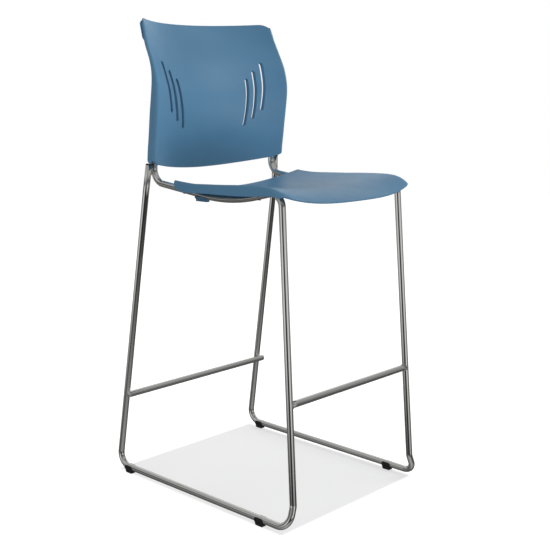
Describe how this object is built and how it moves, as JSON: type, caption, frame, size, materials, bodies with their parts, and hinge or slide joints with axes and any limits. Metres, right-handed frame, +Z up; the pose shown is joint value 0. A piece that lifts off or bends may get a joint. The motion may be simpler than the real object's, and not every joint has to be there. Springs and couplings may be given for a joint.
{
  "type": "bar stool",
  "caption": "Sled-base bar stool with bent chrome tube side frames, tube footrests, a dished plastic seat and a concave plastic back with curved slots.",
  "frame": {"origin": "centre of the footprint on the floor, at the glides' lower faces", "axes": "+Z up, -Y towards the front of the stool, +X to the sitter's left"},
  "size_m": [0.5032, 0.6069, 1.15],
  "materials": {
    "frame_chrome": "polished",
    "shell_plastic": "fine moulded grain",
    "black_plastic": "satin",
    "screw_black": "black oxide"
  },
  "bodies": {
    "root": {"side_frame_left": "frame_chrome", "side_frame_right": "frame_chrome", "footrest_front": "frame_chrome", "footrest_rear": "frame_chrome", "rear_leg_cap_left": "black_plastic", "rear_leg_cap_right": "black_plastic", "glide_front_left": "black_plastic", "glide_front_right": "black_plastic", "glide_rear_left": "black_plastic", "glide_rear_right": "black_plastic", "seat_shell": "shell_plastic", "back_shell": "shell_plastic", "bumper_left": "shell_plastic", "bumper_right": "shell_plastic", "seat_screws": "screw_black", "back_screws": "screw_black"}
  },
  "joints": []
}
